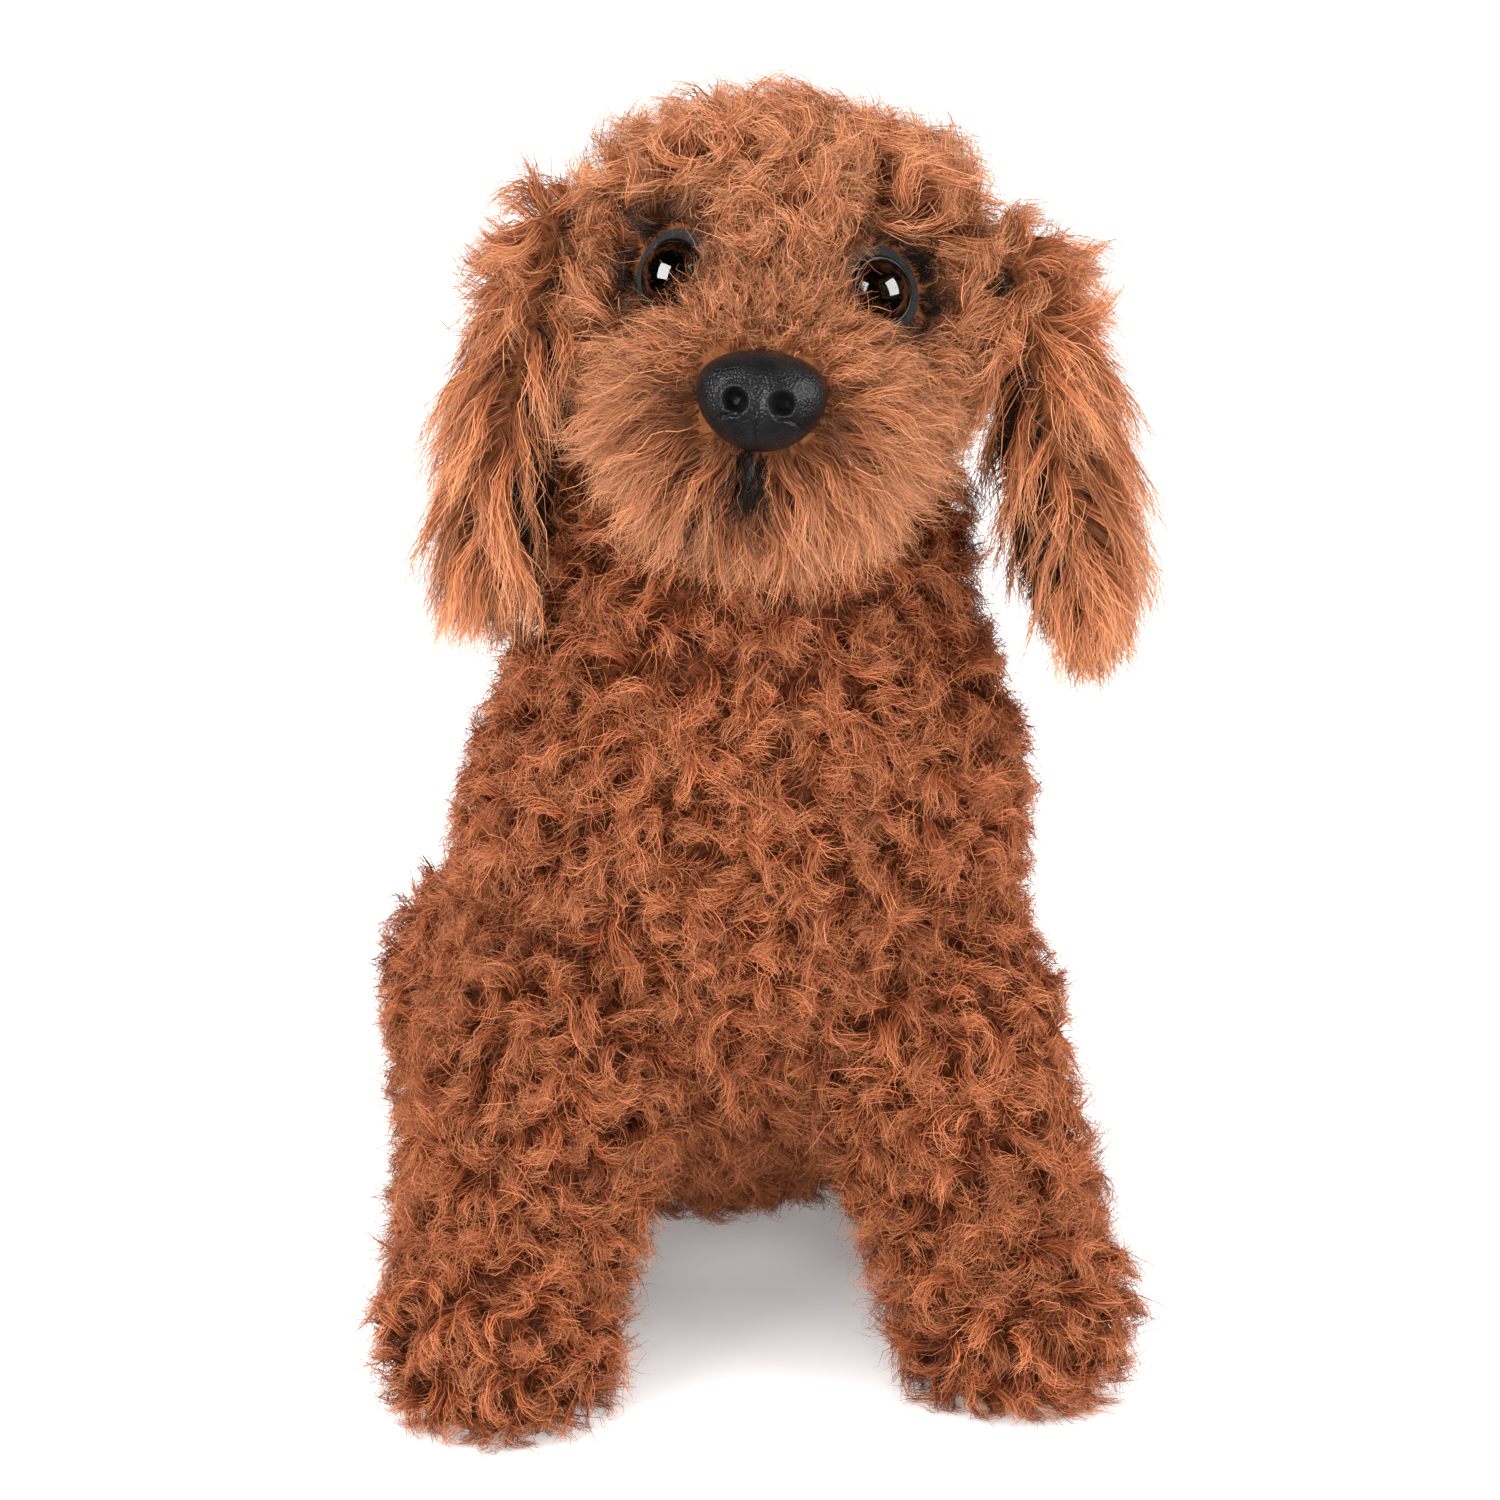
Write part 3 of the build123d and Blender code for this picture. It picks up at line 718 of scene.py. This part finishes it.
def ear_length(side):
    """Long over the panel, shorter at the tip and the seam."""

    def length(points, normals):
        height = ear_height(side, points)
        return 0.029 - 0.017 * np.clip(1 - height * 3, 0, 1) - 0.005 * np.clip(height * 4 - 3, 0, 1)

    return length


def ear_lift(side):
    """Fur stands off next to the seam and lies down towards the tip."""

    def lift(points, normals):
        height = ear_height(side, points)
        return 0.7 + 1.5 * np.clip(height * 1.4, 0, 1)

    return lift


def make_skins():
    """The stuffed skins of all bodies and of the linings of the ears, by name."""
    skins = {"torso": padded_body("torso", 0.005, 0.0010), "neck": padded_body("neck", 0.004, 0.0006)}
    head = ("head_cloth", "muzzle_cloth", "head_filling")
    skins["head"] = stuffed("head_skin", "head", head, "skin_tan", 0.0025, 0.0006)
    skins["tail"] = padded_body("tail", 0.003, 0.0006)
    for side in SIDES:
        for pair in ("front", "rear"):
            skins[f"{side}_{pair}_leg"] = padded_body(f"{side}_{pair}_leg", 0.004, 0.0008)
        ear, lining = f"{side}_ear", f"{side}_ear_lining"
        skins[ear] = stuffed(f"{ear}_skin", ear, (f"{ear}_cloth",), "skin_tan", 0.0022, 0.0008)
        skins[lining] = stuffed(f"{lining}_skin", ear, (lining,), "lining", 0.0009, 0.0)
    return skins


def padded_body(name, voxel, swell):
    """The skin of a body that is one cloth over one filling."""
    nodes = (f"{name}_cloth", f"{name}_filling")
    return stuffed(f"{name}_skin", name, nodes, "skin_brown", voxel, swell)


def cover_ear(side, skin):
    """Near-black pile on the lining of an ear, painted shade of the gap next to the head; long fur over its
    panel and curls at its seam.
    """
    ear, lining = f"{side}_ear", f"{side}_ear_lining"
    short = free_of(skin[ear].tree, gap=0.003)
    grow(f"{lining}_pile", ear, skin[lining], PILE, short, combed_down, same(PILE_LENGTH), PAINTED_SHADE_PILE)
    outside, comb = free_of(skin[lining].tree, gap=0.003), ear_comb(side)
    long = shared(outside, lambda points: np.clip((0.95 - ear_height(side, points)) * 6, 0, 1))
    length, lift = ear_length(side), ear_lift(side)
    grow(f"{ear}_long_fur", ear, skin[ear], EAR, long, comb, length, TAN, lift)
    curly = shared(outside, lambda points: np.clip((ear_height(side, points) - 0.70) * 6, 0, 1))
    grow(f"{ear}_curly_fur", ear, skin[ear], CROWN, curly, comb, flared, TAN, same(1.5))


def make_fur():
    """Skins of all bodies and the fur on them."""
    skin = {name: Skin(obj) for name, obj in make_skins().items()}
    legs = [f"{side}_{pair}_leg" for side in SIDES for pair in ("front", "rear")]
    neighbours = {"torso": (*legs, "tail", "neck"), "neck": ("torso", "head"), "tail": ("torso",)}
    neighbours.update({leg: ("torso",) for leg in legs})
    for body, others in neighbours.items():
        cover = free_of(*(skin[other].tree for other in others))
        grow(f"{body}_fur", body, skin[body], BODY, cover, combed_down, same(LENGTH), BROWN)
    head = skin["head"]
    colour = face_colour(TAN)
    grow("crown_fur", "head", head, CROWN, crown_grown, head_comb, crown_length, colour)
    colour = face_colour(MUZZLE_TAN)
    grow("muzzle_fur", "head", head, MUZZLE, muzzle_grown, head_comb, muzzle_length, colour)
    for side in SIDES:
        cover_ear(side, skin)


# ---- nose ------------------------------------------------------------------------------------------
def make_nose():
    """Moulded dog nose with nostrils, side slits and a lip groove."""
    shape = bmesh.new()
    bmesh.ops.create_icosphere(shape, subdivisions=7, radius=1.0)
    mesh = bpy.data.meshes.new("nose_moulding")
    shape.to_mesh(mesh)
    shape.free()
    ball = unit(coordinates(mesh))
    ball = np.sign(ball) * np.abs(ball) ** 0.9
    x = 0.0140 * ball[:, 0] * (1 + 0.16 * ball[:, 2])
    z = 0.0110 * ball[:, 2] * (1 - 0.05 * np.abs(ball[:, 0]))
    y = 0.0103 * ball[:, 1]
    front = np.clip(-ball[:, 1] * 3, 0, 1)
    aside, level = np.abs(x) * 1000, z * 1000  # relief in millimetres
    nostril = np.exp(-(((aside - 5.0) ** 2 + (level - 0.4) ** 2) / 2.3**2) ** 2)
    along = np.clip((aside - 5.0) / 6.0, 0, 1)
    ends = np.clip(aside - 3.4, 0, 1) * np.clip(12.5 - aside, 0, 1)
    slit = np.exp(-(((level + 2.6 + 3.4 * along**2) / 0.5) ** 2)) * ends
    groove = np.exp(-((aside / 0.45) ** 2)) * np.clip(-(level + 3.0) / 1.5, 0, 1)
    rim = np.exp(-((np.hypot(aside - 5.0, level - 0.4) - 3.2) ** 2) / 0.7)
    saddle = np.exp(-((aside / 2.2) ** 2)) * np.clip((level + 3) / 4, 0, 1)
    sunk = 4.2 * nostril + 0.75 * slit * (1 - nostril) + 0.7 * groove
    sunk = sunk - 0.45 * rim * (1 - slit) + 0.35 * saddle
    y = y + front * sunk * 0.001
    local = np.stack([x, np.minimum(y, 0.0036), z], 1) + NOSE_AT + np.array((0.0011, 0.0, -0.0010))
    world = local @ HEAD_TURN.T + HEAD_AT
    mesh.vertices.foreach_set("co", world.astype(np.float32).ravel())
    mesh.update()
    for polygon in mesh.polygons:
        polygon.use_smooth = True
    nose = add_object("nose_moulding", mesh)
    dress(nose, "nose")
    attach(nose, "head")
    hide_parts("nose")


# ---- felt patches, plastics and hidden pieces -------------------------------------------------------
def finish_cad_nodes():
    """Better materials on the CAD pieces that stay."""
    dress(NODES["mouth_stitches"], "thread")
    dress(NODES["nose_washer"], "washer")
    dress(NODES["pellet_bag"], "pellet_bag")
    for side in SIDES:
        dress(NODES[f"{side}_eye_button"], "eye_black")
        dress(NODES[f"{side}_eye_iris"], "eye_iris")
        dress(NODES[f"{side}_eye_lens"], "eye_lens")
        dress(NODES[f"{side}_eye_washer"], "washer")
        dress(NODES[f"{side}_eye_patch"], "black_felt")
        for pair in ("front", "rear"):
            dress(NODES[f"{side}_{pair}_leg_sole"], "sole_felt")
        for part in ("button", "iris", "lens"):
            for polygon in NODES[f"{side}_eye_{part}"].data.polygons:
                polygon.use_smooth = True


# ---- floor and light --------------------------------------------------------------------------------
LIT_POINT = Vector((0, -0.03, 0.15))  # all lamps face this point of the dog


def make_stage():
    """A pale floor that curves up far behind, softboxes on both sides and a pale surround."""
    flat_end, sweep = 4.0, 0.6  # every camera round the dog stays in front of the sweep
    reach = flat_end + sweep
    rows = [(-reach, 0.0), (flat_end, 0.0)]
    for step in range(1, 13):
        bend = math.radians(90 * step / 12)
        rows.append((flat_end + sweep * math.sin(bend), sweep * (1 - math.cos(bend))))
    rows.append((reach, 3.0))
    points, faces = [], []
    for y, z in rows:
        points += [(-reach, y, z - 0.0001), (reach, y, z - 0.0001)]
    for number in range(len(rows) - 1):
        faces.append((2 * number, 2 * number + 1, 2 * number + 3, 2 * number + 2))
    mesh = bpy.data.meshes.new("floor")
    mesh.from_pydata(points, [], faces)
    mesh.polygons.foreach_set("use_smooth", [True] * len(faces))
    floor = add_object("floor", mesh)
    material, tree, shader = new_material("paper_white", (0.92, 0.92, 0.92), 0.85, 0, 0.1)
    floor.data.materials.append(material)
    shader.inputs["Emission Color"].default_value = (1, 1, 1, 1)
    shader.inputs["Emission Strength"].default_value = 0.22
    floor.visible_glossy = False
    world = bpy.data.worlds.new("surround")
    world.use_nodes = True
    world.node_tree.nodes["Background"].inputs["Color"].default_value = (1, 1, 1, 1)
    world.node_tree.nodes["Background"].inputs["Strength"].default_value = 1.0
    world.cycles_visibility.glossy = False
    bpy.context.scene.world = world
    lights = (
        ("softbox_left", (-1.15, -0.85, 0.85), 1.0, 1.2, 22.0, True),
        ("softbox_right", (1.25, -0.80, 0.85), 1.0, 1.2, 19.0, True),
        ("softbox_top", (0.0, -0.1, 1.9), 1.6, 1.2, 9.0, False),
        ("rim_left", (-1.3, 0.8, 0.7), 0.8, 1.0, 15.0, False),
        ("rim_right", (1.3, 0.7, 0.6), 0.8, 1.0, 8.0, False),
        ("softbox_front", (0.1, -2.2, 0.40), 2.2, 0.7, 26.0, False),
    )
    for name, place, width, height, power, mirrored in lights:
        light = bpy.data.lights.new(name, "AREA")
        light.shape = "RECTANGLE"
        light.size, light.size_y = width, height
        light.energy = power
        lamp = bpy.data.objects.new(name, light)
        lamp.location = place
        lamp.rotation_euler = (Vector(place) - LIT_POINT).to_track_quat("Z", "Y").to_euler()
        lamp.visible_glossy = mirrored
        bpy.context.scene.collection.objects.link(lamp)


make_stage()
make_fur()
make_nose()
finish_cad_nodes()
